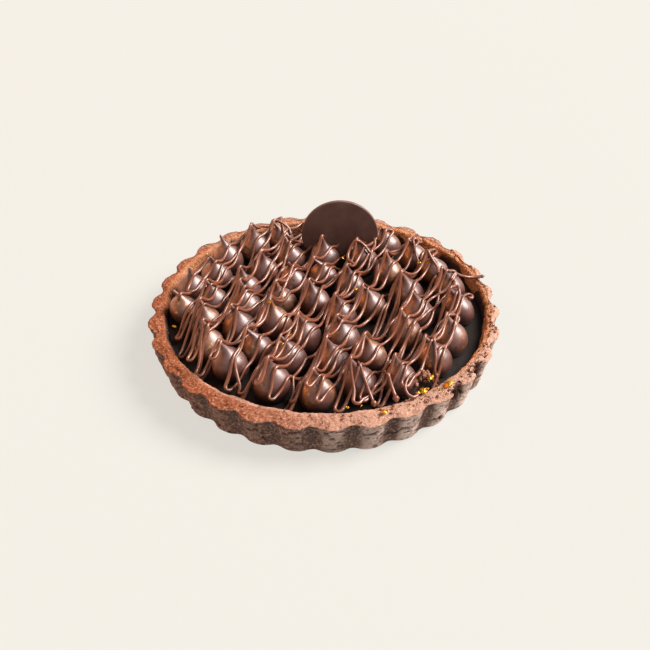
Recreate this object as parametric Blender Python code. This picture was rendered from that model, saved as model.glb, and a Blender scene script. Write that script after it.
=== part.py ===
"""Chocolate tart, 121 mm across, lying on its flat base.

A fluted cocoa crust holds a level ganache filling. Pointed dollops piped in rings cover the
filling, and a thin chocolate disc stands among them near the back. +Z is up, the front is -Y,
and the origin is on the crust's underside, at the middle of its flutes.
Lengths are in millimetres until a mesh is made.
"""

import math
import random

import bmesh
import bpy
from mathutils import Matrix, Vector

MM = 0.001
GAP = 0.3              # clear space kept between neighbouring pieces

# Crust
RIM_RADIUS = 60.8      # out to the flutes' lobes, at the rim
BASE_RADIUS = 57.2     # the same at the underside
CRUST_HEIGHT = 13.5
FLOOR = 3.0
FLUTES = 30
FIRST_LOBE = 8.2       # degrees from +X
FLUTE_DRIFT = 3.2      # degrees: the flutes are wider at the front than at the back
RIM_SHIFT = 0.2        # the rim leans back by this much over the underside
RIM_NOTCH = 2.1        # depth of the notch between two lobes, at the rim
BASE_NOTCH = 1.6       # the same at the underside
NOTCH_POWER = 1.6      # above 1 the lobes are broad and the notches narrow
EDGE = 1.5             # rounding of the rim's two edges
FOOT_EDGE = 0.9        # bevel round the underside
WANDER = 0.5           # how far the hand-pressed rim strays inwards, and as much down from level
STEPS_PER_FLUTE = 6

# Hollow of the crust: an oval, and a little off the middle, so that the front wall is thicker
HOLLOW_RADIUS = 53.2   # from front to back
HOLLOW_STRETCH = 1.038  # how much wider it is from side to side
HOLLOW_TAPER = 1.8     # the hollow is this much narrower at its floor
HOLLOW_CENTRE = Vector((0.4, 2.0))

# Filling
FILLING_TOP = 8.5
FILLING_SIDES = 90

# Chocolate disc
DISC_RADIUS = 13.9
DISC_THICKNESS = 1.3
DISC_LEAN = 4.0        # degrees back from upright
DISC_SINK = 3.5        # how deep its edge stands in the filling
DISC_X = 6.0
DISC_Y = 37.6          # where its lowest point stands
DISC_SIDES = 48

# Dollops: the profile is a list of (height, radius) shares, from the foot to the pulled tip
DOLLOP_RADIUS = 5.65
DOLLOP_HEIGHT = 13.6
SIZE_SPREAD = 0.05     # the radii differ by up to this share, because they are piped by hand
FRONT_GAIN = 0.0018    # and they grow by this share for each millimetre towards the front
HEIGHT_SPREAD = 1.3    # how far a dollop's height follows its radius
DOLLOP_PROFILE = ((0.0, 0.86), (0.11, 0.98), (0.26, 1.0), (0.46, 0.86), (0.62, 0.56), (0.78, 0.18))
DOLLOP_SIDES = 10
TIP_LEAN = Vector((-1.5, 0.0))     # how far the tips are dragged as the nozzle leaves
TIP_SCATTER = 1.1
LEAN_POWER = 1.7       # above 1 the foot stays upright and the tip bends over
SETTLING_ROUNDS = 40
DISC_FOOT = 9.0        # half the width of the disc down among the dollops
DISC_PRESS = 0.75      # share of a dollop's radius left on the side that the disc presses

# The piping works inwards from the wall, ring by ring, round a point a little off the middle.
# Each ring has its radius, then for every dollop its angle in degrees from +X, and how far out
# of the ring it landed.
PIPING_CENTRE = Vector((1.3, 0.6))
RINGS = (
    (44, ((204, 0), (221, -2), (244, -2), (265, -1), (285, -4), (302, -1), (324, 0), (339, 0),
          (1, 1), (17, 1), (32, 1), (45, 1), (61, 2), (76, 1), (92, 1), (110, 4), (125, 3),
          (141, 3), (152, 2), (164, 5), (172, -3), (174, 7), (186, -2))),
    (30, ((221, 1), (244, -2), (274, -3), (300, -2), (335, -1), (357, 1), (17, 0), (45, 1),
          (67, 4), (91, 3), (112, 4), (133, 3), (153, 2), (174, 0), (198, 1))),
    (16, ((200, 3), (241, 0), (290, 0), (12, 0), (61, 1), (94, 5), (126, 5), (159, 1))),
    (4, ((333, 1), (124, 3))),
)

SHARP_ANGLE = 40.0     # degrees: edges that turn by more than this are shaded sharp


def unevenness(turn):
    """Slow wander of the rim, between 0 and 1: three sines that fit the circle 2, 3 and 7 times."""
    wave = math.sin(2 * turn + 0.6) + 0.8 * math.sin(3 * turn + 2.1) + 0.6 * math.sin(7 * turn)
    return 0.5 + 0.5 * wave / 2.4


def notch(turn):
    """0 on a lobe and 1 between two lobes, as a power of a raised cosine."""
    phase = FLUTES * (turn - math.radians(FIRST_LOBE + FLUTE_DRIFT * math.cos(turn)))
    return (0.5 - 0.5 * math.cos(phase)) ** NOTCH_POWER


def outside(turn, share, inset):
    """Point of the fluted wall at a share of its height, inset from the surface."""
    depth = BASE_NOTCH + (RIM_NOTCH - BASE_NOTCH) * share
    radius = BASE_RADIUS + (RIM_RADIUS - BASE_RADIUS) * share
    radius -= depth * notch(turn) + WANDER * unevenness(turn) + inset
    return Vector((radius * math.cos(turn), radius * math.sin(turn) + RIM_SHIFT * share))


def inside(turn, share, inset):
    """Point of the hollow's wall at a share of its height, inset into the crust."""
    radius = HOLLOW_RADIUS - HOLLOW_TAPER * (1.0 - share) + inset
    return HOLLOW_CENTRE + Vector((radius * HOLLOW_STRETCH * math.cos(turn), radius * math.sin(turn)))


def crust_section(turn):
    """The crust's outline at one angle, from its underside up, over the rim and down inside."""
    top = CRUST_HEIGHT - WANDER * unevenness(turn + 1.0)
    corner = EDGE * (1.0 - math.sqrt(0.5))
    return (
        (outside(turn, 0.0, FOOT_EDGE), 0.0),
        (outside(turn, 0.0, 0.0), FOOT_EDGE),
        (outside(turn, 1.0, 0.0), top - EDGE),
        (outside(turn, 1.0, corner), top - corner),
        (outside(turn, 1.0, EDGE), top),
        (inside(turn, 1.0, EDGE), top),
        (inside(turn, 1.0, corner), top - corner),
        (inside(turn, 1.0, 0.0), top - EDGE),
        (inside(turn, 0.0, 0.0), FLOOR),
    )


def loft(mesh, sections):
    """Faces between neighbouring sections round a full turn, closed at both ends by a fan."""
    rings = [[mesh.verts.new(point) for point in section] for section in sections]
    first = mesh.verts.new((0.0, 0.0, rings[0][0].co.z))
    last = mesh.verts.new((HOLLOW_CENTRE.x, HOLLOW_CENTRE.y, rings[0][-1].co.z))
    for here, there in zip(rings, rings[1:] + rings[:1]):
        mesh.faces.new((first, there[0], here[0]))
        for low in range(len(here) - 1):
            mesh.faces.new((here[low], there[low], there[low + 1], here[low + 1]))
        mesh.faces.new((last, here[-1], there[-1]))


def turned(mesh, profile, sides):
    """Turn a profile of (height, radius) about Z. Its first and last points lie on the axis."""
    points = [mesh.verts.new((radius, 0.0, height)) for height, radius in profile]
    edges = [mesh.edges.new(pair) for pair in zip(points, points[1:])]
    bmesh.ops.spin(mesh, geom=points + edges, cent=(0, 0, 0), axis=(0, 0, 1), steps=sides,
                   angle=2 * math.pi, use_merge=True)
    bmesh.ops.remove_doubles(mesh, verts=mesh.verts, dist=0.001)
    bmesh.ops.recalc_face_normals(mesh, faces=mesh.faces)


def material(name, colour, roughness):
    """Principled material. The colour is linear."""
    made = bpy.data.materials.new(name)
    made.use_nodes = True
    shader = made.node_tree.nodes["Principled BSDF"]
    shader.inputs["Base Color"].default_value = (*colour, 1.0)
    shader.inputs["Roughness"].default_value = roughness
    shader.inputs["Metallic"].default_value = 0.0
    return made


def add_object(name, mesh, finish, collection):
    """Turn a bmesh in millimetres into an object in metres, shaded smooth."""
    bmesh.ops.scale(mesh, vec=(MM, MM, MM), verts=mesh.verts)
    data = bpy.data.meshes.new(name)
    mesh.to_mesh(data)
    mesh.free()
    data.shade_smooth()
    data.set_sharp_from_angle(angle=math.radians(SHARP_ANGLE))
    made = bpy.data.objects.new(name, data)
    made.data.materials.append(finish)
    collection.objects.link(made)
    return made


def disc_matrix(extra):
    """Place of the disc: axis along -Y leaned back, edge sunk in the filling."""
    lean = Matrix.Rotation(math.radians(90.0 - DISC_LEAN), 4, "X")
    foot = Vector((DISC_X, DISC_Y, FILLING_TOP - DISC_SINK - extra))
    up = lean.to_3x3() @ Vector((0.0, DISC_RADIUS + extra, 0.0))
    return Matrix.Translation(foot + up) @ lean


def clear_of_disc(point, spot):
    """The point moved along Y, out of the disc, to the side of it where its dollop stands."""
    rise = point.z - (FILLING_TOP - DISC_SINK)
    lean = math.radians(DISC_LEAN)
    middle = DISC_Y + rise * math.tan(lean)
    reach = 0.5 * DISC_THICKNESS / math.cos(lean) + GAP
    if spot.y < DISC_Y:
        point.y = min(point.y, middle - reach)
    else:
        point.y = max(point.y, middle + reach)


def add_disc(name, finish, collection, extra=0.0):
    """The disc, or with extra its clearance."""
    mesh = bmesh.new()
    bmesh.ops.create_cone(mesh, cap_ends=True, segments=DISC_SIDES,
                          radius1=DISC_RADIUS + extra, radius2=DISC_RADIUS + extra,
                          depth=DISC_THICKNESS + 2 * extra)
    bmesh.ops.transform(mesh, matrix=disc_matrix(extra), verts=mesh.verts)
    return add_object(name, mesh, finish, collection)


def add_crust(finish, collection):
    """The fluted shell of the tart."""
    mesh = bmesh.new()
    steps = FLUTES * STEPS_PER_FLUTE
    turns = [2 * math.pi * step / steps for step in range(steps)]
    sections = [[(*flat, height) for flat, height in crust_section(turn)] for turn in turns]
    loft(mesh, sections)
    return add_object("crust", mesh, finish, collection)


def add_filling(finish, slot, collection):
    """The ganache, with a slot in which the disc stands."""
    mesh = bmesh.new()
    depth = FILLING_TOP - FLOOR - GAP
    share = (FILLING_TOP - FLOOR) / (CRUST_HEIGHT - FLOOR)
    low = HOLLOW_RADIUS - HOLLOW_TAPER - GAP
    high = low + HOLLOW_TAPER * share
    bmesh.ops.create_cone(mesh, cap_ends=True, segments=FILLING_SIDES, radius1=low, radius2=high,
                          depth=depth)
    bmesh.ops.scale(mesh, vec=(HOLLOW_STRETCH, 1.0, 1.0), verts=mesh.verts)
    middle = Vector((*HOLLOW_CENTRE, FILLING_TOP - 0.5 * depth))
    bmesh.ops.translate(mesh, vec=middle, verts=mesh.verts)
    filling = add_object("filling", mesh, finish, collection)
    cut = filling.modifiers.new("disc slot", "BOOLEAN")
    cut.operation = "DIFFERENCE"
    cut.object = slot
    return filling


def piped_spots():
    """Where the nozzle touched down, as points in the plane of the filling."""
    spots = []
    for ring, places in RINGS:
        for angle, miss in places:
            turn = math.radians(angle)
            reach = ring + miss
            spots.append(PIPING_CENTRE + Vector((math.cos(turn), math.sin(turn))) * reach)
    return spots


def wall_room(spot):
    """Room between a spot and the hollow's oval wall, halfway up."""
    outward = spot - HOLLOW_CENTRE
    outward.x /= HOLLOW_STRETCH
    return HOLLOW_RADIUS - 0.5 * HOLLOW_TAPER - GAP - outward.length


def settle(spots, radii):
    """Move the dollops apart where they press on each other, on the wall or on the disc."""
    beside = 0.5 * DISC_THICKNESS + GAP
    for _ in range(SETTLING_ROUNDS):
        for i, spot in enumerate(spots):
            for j in range(i):
                apart = spot - spots[j]
                excess = radii[i] + radii[j] + GAP - apart.length
                if excess > 0.0:
                    spot += apart.normalized() * (0.5 * excess)
                    spots[j] -= apart.normalized() * (0.5 * excess)
            if abs(spot.x - DISC_X) < DISC_FOOT:
                side = math.copysign(1.0, spot.y - DISC_Y)
                room = abs(spot.y - DISC_Y)
                spot.y += side * max(0.0, DISC_PRESS * radii[i] + beside - room)
            excess = radii[i] - wall_room(spot)
            if excess > 0.0:
                spot -= (spot - HOLLOW_CENTRE).normalized() * excess


def trim(spots, radii):
    """Shrink what still overlaps after settling, each pair by the same amount."""
    for i, spot in enumerate(spots):
        radii[i] = min(radii[i], wall_room(spot))
        for j in range(i):
            excess = radii[i] + radii[j] + GAP - (spot - spots[j]).length
            if excess > 0.0:
                radii[i] -= 0.5 * excess
                radii[j] -= 0.5 * excess


def add_dollop(name, spot, radius, tip, finish, collection):
    """A turned drop of cream whose tip is dragged sideways, pressed flat by the disc."""
    height = DOLLOP_HEIGHT * (1.0 + HEIGHT_SPREAD * (radius / DOLLOP_RADIUS - 1.0))
    profile = [(share * height, part * radius) for share, part in DOLLOP_PROFILE]
    mesh = bmesh.new()
    turned(mesh, [(0.0, 0.0)] + profile + [(height, 0.0)], DOLLOP_SIDES)
    floor = FILLING_TOP + GAP
    for vert in mesh.verts:
        bend = (vert.co.z / height) ** LEAN_POWER
        vert.co += Vector((spot.x + tip.x * bend, spot.y + tip.y * bend, floor))
        if abs(spot.x - DISC_X) < DISC_RADIUS:
            clear_of_disc(vert.co, spot)
    return add_object(name, mesh, finish, collection)


def build():
    """Clear the scene and model the tart."""
    for old in list(bpy.data.objects):
        bpy.data.objects.remove(old, do_unlink=True)
    tart = bpy.data.collections.new("chocolate_tart")
    cutters = bpy.data.collections.new("cutters")
    for collection in (tart, cutters):
        bpy.context.scene.collection.children.link(collection)

    pastry = material("cocoa_pastry", (0.26, 0.11, 0.06), 0.85)
    ganache = material("dark_ganache", (0.02, 0.012, 0.010), 0.45)
    piped = material("piped_chocolate", (0.055, 0.026, 0.020), 0.35)
    plain = material("chocolate_disc", (0.070, 0.031, 0.023), 0.5)

    add_crust(pastry, tart)
    slot = add_disc("disc_slot", plain, cutters, extra=GAP)
    slot.hide_render = True
    slot.display_type = "WIRE"
    add_filling(ganache, slot, tart)
    add_disc("disc", plain, tart)

    rng = random.Random(11)
    spots = piped_spots()
    radii = [DOLLOP_RADIUS * (1 - FRONT_GAIN * spot.y + rng.uniform(-SIZE_SPREAD, SIZE_SPREAD))
             for spot in spots]
    settle(spots, radii)
    trim(spots, radii)
    for number, (spot, radius) in enumerate(zip(spots, radii), start=1):
        scatter = Vector((rng.uniform(-1.0, 1.0), rng.uniform(-1.0, 1.0))) * TIP_SCATTER
        add_dollop(f"dollop_{number:02d}", spot, radius, TIP_LEAN + scatter, piped, tart)


build()
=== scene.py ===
"""Looks of a chocolate tart, 121 mm across: a fluted cocoa shortcrust, a ganache filling, piped
chocolate dollops with threads of milk chocolate drizzled over them, crumbs, gold leaf, and a
moulded disc. Lengths are in millimetres until a mesh is made.
"""
import math

import bpy
import numpy as np
from mathutils import Matrix, Vector


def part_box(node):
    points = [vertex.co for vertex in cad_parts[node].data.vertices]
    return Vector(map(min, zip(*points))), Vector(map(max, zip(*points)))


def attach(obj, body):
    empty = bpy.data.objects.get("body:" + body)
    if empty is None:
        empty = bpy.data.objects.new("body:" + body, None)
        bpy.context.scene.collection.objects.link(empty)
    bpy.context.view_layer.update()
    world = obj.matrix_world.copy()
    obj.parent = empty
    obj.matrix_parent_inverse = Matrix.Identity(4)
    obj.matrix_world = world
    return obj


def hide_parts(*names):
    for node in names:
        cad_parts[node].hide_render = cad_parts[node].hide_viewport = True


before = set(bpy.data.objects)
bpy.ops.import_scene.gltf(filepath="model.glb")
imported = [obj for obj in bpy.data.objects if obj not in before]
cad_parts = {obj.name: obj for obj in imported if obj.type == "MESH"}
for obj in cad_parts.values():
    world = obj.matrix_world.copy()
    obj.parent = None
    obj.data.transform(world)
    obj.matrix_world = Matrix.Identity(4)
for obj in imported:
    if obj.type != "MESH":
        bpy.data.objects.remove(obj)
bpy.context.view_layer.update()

MM = 0.001
FULL = 2 * math.pi

# Crust, fluted as in the frame
RIM_RADIUS = 60.8
BASE_RADIUS = 57.2
CRUST_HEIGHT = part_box("crust")[1][2] / MM
FLOOR = 3.0
FLUTES = 30
FIRST_LOBE = math.radians(8.2)
FLUTE_DRIFT = math.radians(3.2)
RIM_SHIFT = 0.2
RIM_NOTCH = 2.1
BASE_NOTCH = 1.6
NOTCH_POWER = 1.6
WANDER = 0.5
OUTER_EDGE = 0.8
INNER_EDGE = 1.6
FOOT_EDGE = 0.9
HOLLOW_RADIUS = 53.2
HOLLOW_STRETCH = 1.038
HOLLOW_TAPER = 1.8
HOLLOW_CENTRE = np.array([0.4, 2.0])
FILLING_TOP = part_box("filling")[1][2] / MM
DISC_LEAN = math.radians(4.0)
DISC_LOW, DISC_HIGH = (np.array(corner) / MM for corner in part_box("disc"))
DISC_RADIUS = 0.5 * (DISC_HIGH[0] - DISC_LOW[0])
DISC_THICKNESS = (DISC_HIGH[1] - DISC_LOW[1] - 2 * DISC_RADIUS * math.sin(DISC_LEAN)) / math.cos(DISC_LEAN)
DISC_CENTRE = 0.5 * (DISC_LOW + DISC_HIGH)
DISC_Y = DISC_CENTRE[1] - DISC_RADIUS * math.sin(DISC_LEAN)
CLEARANCE = 0.3

# Camera: it looks down along +Y at the middle of the rim
CAMERA_DISTANCE = 480.0
CAMERA_ELEVATION = math.radians(37.716)
CAMERA_ROLL = -0.01033
CAMERA_LENS = 77.27
CAMERA_SHIFT = (0.0013, -0.0217)
AIM_HEIGHT = 13.5


# ---------------------------------------------------------------- numbers and noise

def unit(vectors):
    """Vectors divided by their own length, along the last axis."""
    return vectors / np.maximum(np.linalg.norm(vectors, axis=-1, keepdims=True), 1e-12)


def ramp(values, low, high):
    """0 below low, 1 above high, and between them 3t^2 - 2t^3, which starts and ends level."""
    t = np.clip((values - low) / (high - low), 0.0, 1.0)
    return t * t * (3.0 - 2.0 * t)


def lumps(points, size, seed):
    """Even noise between -1 and 1: random numbers on a cubic lattice with cells of the given
    size, blended inside a cell by the level-ended ramp along each axis."""
    table = np.random.default_rng(seed).uniform(-1.0, 1.0, (64, 64, 64))
    place = points / size
    cell = np.floor(place).astype(int)
    part = place - cell
    part = part * part * (3.0 - 2.0 * part)
    total = 0.0
    for corner in np.ndindex(2, 2, 2):
        at = (cell + np.array(corner)) % 64
        share = np.prod(np.where(corner, part, 1.0 - part), axis=-1)
        total = total + share * table[at[..., 0], at[..., 1], at[..., 2]]
    return total


def waves(along, length, count, rng):
    """A wander with no jumps: count sines of random phase, the first as long as length and each
    next one 1.7 times shorter and 1.6 times lower, scaled to lie mostly between -1 and 1."""
    total = 0.0
    for k in range(count):
        total = total + np.sin(FULL * along * 1.7 ** k / length + rng.uniform(0, FULL)) / 1.6 ** k
    return total / 1.6


# ---------------------------------------------------------------- meshes

def grid_faces(rows, columns, wrap_rows=False, wrap_columns=True, first=0):
    """Corner numbers of a grid's faces, four to a row, counted from the vertex number first."""
    down = np.arange(rows if wrap_rows else rows - 1)[:, None]
    across = np.arange(columns if wrap_columns else columns - 1)[None, :]
    below, beside = (down + 1) % rows, (across + 1) % columns
    corners = (down * columns + across, down * columns + beside,
               below * columns + beside, below * columns + across)
    return first + np.stack(np.broadcast_arrays(*corners), -1).reshape(-1, 4)


def fan_faces(ring, pole, flip=False):
    """Three-cornered faces between a closed ring of vertex numbers and one pole."""
    after = np.roll(ring, -1)
    faces = np.stack([ring, after, np.full(len(ring), pole)], -1)
    return faces[:, ::-1] if flip else faces


def grid_normals(points, wrap_rows=False):
    """Unit normals of a grid whose columns close on themselves: the cross product of the
    steps to the neighbours along the row and along the column."""
    across = np.roll(points, -1, axis=1) - np.roll(points, 1, axis=1)
    if wrap_rows:
        down = np.roll(points, -1, axis=0) - np.roll(points, 1, axis=0)
    else:
        down = np.gradient(points, axis=0)
    return unit(np.cross(across, down))


def add_piece(name, points, faces, finish, node=None, tones=None, body="root"):
    """A smooth mesh object from points in millimetres and a list of face arrays. tones are
    named values per vertex, which the finish reads as attributes."""
    mesh = bpy.data.meshes.new(name)
    points = np.asarray(points, float).reshape(-1, 3) * MM
    sizes = np.concatenate([np.full(len(block), block.shape[1]) for block in faces])
    corners = np.concatenate([block.ravel() for block in faces])
    mesh.vertices.add(len(points))
    mesh.vertices.foreach_set("co", points.ravel())
    mesh.loops.add(len(corners))
    mesh.loops.foreach_set("vertex_index", corners)
    mesh.polygons.add(len(sizes))
    mesh.polygons.foreach_set("loop_start", np.concatenate([[0], np.cumsum(sizes)[:-1]]))
    mesh.polygons.foreach_set("use_smooth", np.ones(len(sizes), bool))
    for tone, values in (tones or {}).items():
        layer = mesh.attributes.new(tone, "FLOAT", "POINT")
        layer.data.foreach_set("value", np.asarray(values, float).ravel())
    mesh.update(calc_edges=True)
    mesh.validate()
    mesh.materials.append(finish)
    made = bpy.data.objects.new(name, mesh)
    bpy.context.scene.collection.objects.link(made)
    if body:
        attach(made, body)
    if node:
        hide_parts(node)
    return made


# ---------------------------------------------------------------- finishes

def linear(colour):
    """An sRGB hex colour as linear red, green, blue and alpha 1."""
    parts = [int(colour[i:i + 2], 16) / 255.0 for i in (0, 2, 4)]
    return [c / 12.92 if c <= 0.04045 else ((c + 0.055) / 1.055) ** 2.4 for c in parts] + [1.0]


def add_node(tree, kind, inputs=None, **settings):
    """Adds a node, with its settings, and its inputs as numbers or as links from sockets."""
    made = tree.nodes.new(kind)
    for key, value in settings.items():
        setattr(made, key, value)
    for key, value in (inputs or {}).items():
        if isinstance(value, bpy.types.NodeSocket):
            tree.links.new(value, made.inputs[key])
        else:
            made.inputs[key].default_value = value
    return made


def new_finish(name, **shader_inputs):
    """An empty Principled finish: returns the material, its tree and its shader."""
    made = bpy.data.materials.new(name)
    made.use_nodes = True
    tree = made.node_tree
    shader = tree.nodes["Principled BSDF"]
    for key, value in shader_inputs.items():
        shader.inputs[key.replace("_", " ")].default_value = value
    return made, tree, shader


def per_metre(size):
    """Scale of a pattern whose features measure size millimetres."""
    return 1.0 / (size * MM)


def blend(tree, share, low, high):
    """A colour between two: each is a hex string or a socket, and share is a socket."""
    ends = {6: linear(low) if isinstance(low, str) else low, 7: linear(high) if isinstance(high, str) else high}
    return add_node(tree, "ShaderNodeMix", {0: share, **ends}, data_type="RGBA").outputs[2]


def baked_cocoa_shortcrust():
    """Shortcrust with cocoa, pressed in a tin and baked: matt and sandy. Sugar and flour leave pale grains, fat
    leaves pores, and the wall that touched the tin is darker. The attributes say where on the crust a point lies:
    wall, painted_light_on_lobes (painted light on the lobes, most on the sunny front right), recess (painted shade
    between two lobes), hollow (painted shade in pores, seams, cracks and torn cavities), pale (a paler outer band on
    the right and inner edge at the front, and painted light on the sunny front right), torn (broken out),
    painted_warm_light_left (painted warm light on the left side), painted_lip_light (painted light on the inner lip
    at the back right and back left) and darker_inside (darker down the inner wall towards the filling)."""
    made, tree, shader = new_finish("baked_cocoa_shortcrust")
    place = add_node(tree, "ShaderNodeTexCoord").outputs["Object"]
    wall, painted_light_on_lobes, recess, hollow, pale, torn, painted_warm_light_left, painted_lip_light, darker_inside = (
        add_node(tree, "ShaderNodeAttribute", attribute_name=name).outputs["Fac"]
        for name in ("wall", "painted_light_on_lobes", "recess", "hollow", "pale", "torn", "painted_warm_light_left", "painted_lip_light", "darker_inside"))
    patches = add_node(tree, "ShaderNodeTexNoise",
                       {"Vector": place, "Scale": per_metre(5.0), "Detail": 3.0}).outputs["Fac"]
    patches = add_node(tree, "ShaderNodeMapRange", {0: patches, 1: 0.35, 2: 0.65}).outputs[0]
    grain = add_node(tree, "ShaderNodeTexNoise",
                     {"Vector": place, "Scale": per_metre(0.9), "Detail": 5.0, "Roughness": 0.7}).outputs["Fac"]
    rim = blend(tree, patches, "9b674f", "ab7c66")
    # painted warm light: the rim turns orange on the left, where the warm lamp from the left falls
    rim = blend(tree, painted_warm_light_left, rim, "924a20")
    side = blend(tree, patches, "6b4c42", "80604f")
    # painted warm light: the wall turns orange on the left as well
    side = blend(tree, painted_warm_light_left, side, "683c26")
    # painted shade in the recesses between the lobes
    side = blend(tree, recess, side, "4b332c")
    # painted light: the lobes are made paler, most where they face the light at the front right
    side = blend(tree, painted_light_on_lobes, side, "e6cbbf")
    colour = blend(tree, wall, rim, side)
    # paler outer band on the right and inner edge at the front, and painted light on the rim's sunny front right
    colour = blend(tree, pale, colour, "d6b09b")
    colour = blend(tree, torn, colour, "8e4630")
    # painted light on the inner lip at the back right and back left, which the lamps leave in shade
    colour = blend(tree, painted_lip_light, colour, "cf8a58")
    flour = add_node(tree, "ShaderNodeMapRange", {0: grain, 1: 0.50, 2: 0.66, 4: 0.6}).outputs[0]
    colour = blend(tree, flour, colour, "dbab8c")
    cocoa = add_node(tree, "ShaderNodeMapRange", {0: grain, 1: 0.47, 2: 0.34, 4: 0.6}).outputs[0]
    colour = blend(tree, cocoa, colour, "5e2f1d")
    # painted shade: pores, seams, cracks and torn cavities are painted dark
    colour = blend(tree, hollow, colour, "3a2018")
    # darker down the inner wall towards the filling
    colour = blend(tree, darker_inside, colour, "3a231b")
    sugar = add_node(tree, "ShaderNodeTexVoronoi", {"Vector": place, "Scale": per_metre(1.3)})
    near = add_node(tree, "ShaderNodeMapRange", {0: sugar.outputs["Distance"], 1: 0.17, 2: 0.10}).outputs[0]
    rare = add_node(tree, "ShaderNodeMapRange", {0: sugar.outputs["Color"], 1: 0.74, 2: 0.80}).outputs[0]
    spark = add_node(tree, "ShaderNodeMath", {0: near, 1: rare}, operation="MULTIPLY").outputs[0]
    top = add_node(tree, "ShaderNodeMapRange", {0: wall, 3: 0.9, 4: 0.3}).outputs[0]
    spark = add_node(tree, "ShaderNodeMath", {0: spark, 1: top}, operation="MULTIPLY").outputs[0]
    colour = blend(tree, spark, colour, "f6e2d4")
    tree.links.new(colour, shader.inputs["Base Color"])
    rough = add_node(tree, "ShaderNodeMapRange", {0: spark, 3: 0.82, 4: 0.25}).outputs[0]
    tree.links.new(rough, shader.inputs["Roughness"])
    sand = add_node(tree, "ShaderNodeTexNoise",
                    {"Vector": place, "Scale": per_metre(0.35), "Detail": 3.0}).outputs["Fac"]
    coarse = add_node(tree, "ShaderNodeBump", {"Height": grain, "Strength": 1.0, "Distance": 0.7 * MM})
    fine = add_node(tree, "ShaderNodeBump", {"Height": sand, "Strength": 0.7, "Distance": 0.2 * MM,
                                             "Normal": coarse.outputs["Normal"]})
    tree.links.new(fine.outputs["Normal"], shader.inputs["Normal"])
    return made


def piped_dark_chocolate():
    """Dark chocolate cream, piped and set: smooth, with a satin skin, a few pinholes where air escaped, painted near
    black as shade inside them, and a dusting of gold. The attribute gold_dust_and_warm_light says how much gold
    dusting there is, and on the left flanks also where painted warm light from the left falls; foot is painted
    shade, nearly black, low on the dollop where it stands in the ganache."""
    made, tree, shader = new_finish("piped_dark_chocolate", IOR=1.5, Coat_Weight=1.0,
                                    Coat_Roughness=0.42, Coat_IOR=1.7)
    place = add_node(tree, "ShaderNodeTexCoord").outputs["Object"]
    clouds = add_node(tree, "ShaderNodeTexNoise",
                      {"Vector": place, "Scale": per_metre(3.0), "Detail": 5.0}).outputs["Fac"]
    colour = blend(tree, clouds, "4c2821", "7a4e46")
    holes = add_node(tree, "ShaderNodeTexVoronoi", {"Vector": place, "Scale": per_metre(2.8)})
    near = add_node(tree, "ShaderNodeMapRange", {0: holes.outputs["Distance"], 1: 0.16, 2: 0.12}).outputs[0]
    rare = add_node(tree, "ShaderNodeMapRange", {0: holes.outputs["Color"], 1: 0.62, 2: 0.65}).outputs[0]
    pinhole = add_node(tree, "ShaderNodeMath", {0: near, 1: rare}, operation="MULTIPLY").outputs[0]
    # gold dusting, and on the left flanks painted warm light from the left lamp as well
    gold_and_warm_share = add_node(tree, "ShaderNodeAttribute", attribute_name="gold_dust_and_warm_light").outputs["Fac"]
    flecks = add_node(tree, "ShaderNodeTexNoise",
                      {"Vector": place, "Scale": per_metre(3.2), "Detail": 8.0, "Roughness": 0.85}).outputs["Fac"]
    flecks = add_node(tree, "ShaderNodeMapRange", {0: flecks, 1: 0.46, 2: 0.58, 3: 0.06}).outputs[0]
    gold_dust_and_warm_light = add_node(tree, "ShaderNodeMath", {0: gold_and_warm_share, 1: flecks}, operation="MULTIPLY").outputs[0]
    colour = blend(tree, gold_dust_and_warm_light, colour, "c08040")
    specks = add_node(tree, "ShaderNodeTexVoronoi", {"Vector": place, "Scale": per_metre(0.9)}).outputs["Color"]
    specks = add_node(tree, "ShaderNodeMapRange", {0: specks, 1: 0.80, 2: 0.84}).outputs[0]
    specks = add_node(tree, "ShaderNodeMath", {0: specks, 1: gold_dust_and_warm_light}, operation="MULTIPLY").outputs[0]
    colour = blend(tree, specks, colour, "ffd070")
    # painted shade: the foot of each dollop is darkened to nearly black next to the ganache
    foot = add_node(tree, "ShaderNodeAttribute", attribute_name="foot").outputs["Fac"]
    colour = blend(tree, foot, colour, "1c110d")
    # painted shade inside the pinholes, near black
    colour = blend(tree, pinhole, colour, "0e0705")
    tree.links.new(colour, shader.inputs["Base Color"])
    metal = add_node(tree, "ShaderNodeMath", {0: gold_dust_and_warm_light, 1: 0.7}, operation="MULTIPLY").outputs[0]
    tree.links.new(metal, shader.inputs["Metallic"])
    rough = add_node(tree, "ShaderNodeMapRange", {0: clouds, 3: 0.36, 4: 0.52}).outputs[0]
    tree.links.new(rough, shader.inputs["Roughness"])
    skin = add_node(tree, "ShaderNodeBump", {"Height": clouds, "Strength": 0.35, "Distance": 0.25 * MM})
    pit = add_node(tree, "ShaderNodeBump", {"Height": pinhole, "Strength": 1.0, "Distance": 0.3 * MM,
                                            "Normal": skin.outputs["Normal"]}, invert=True)
    tree.links.new(pit.outputs["Normal"], shader.inputs["Normal"])
    return made


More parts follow.
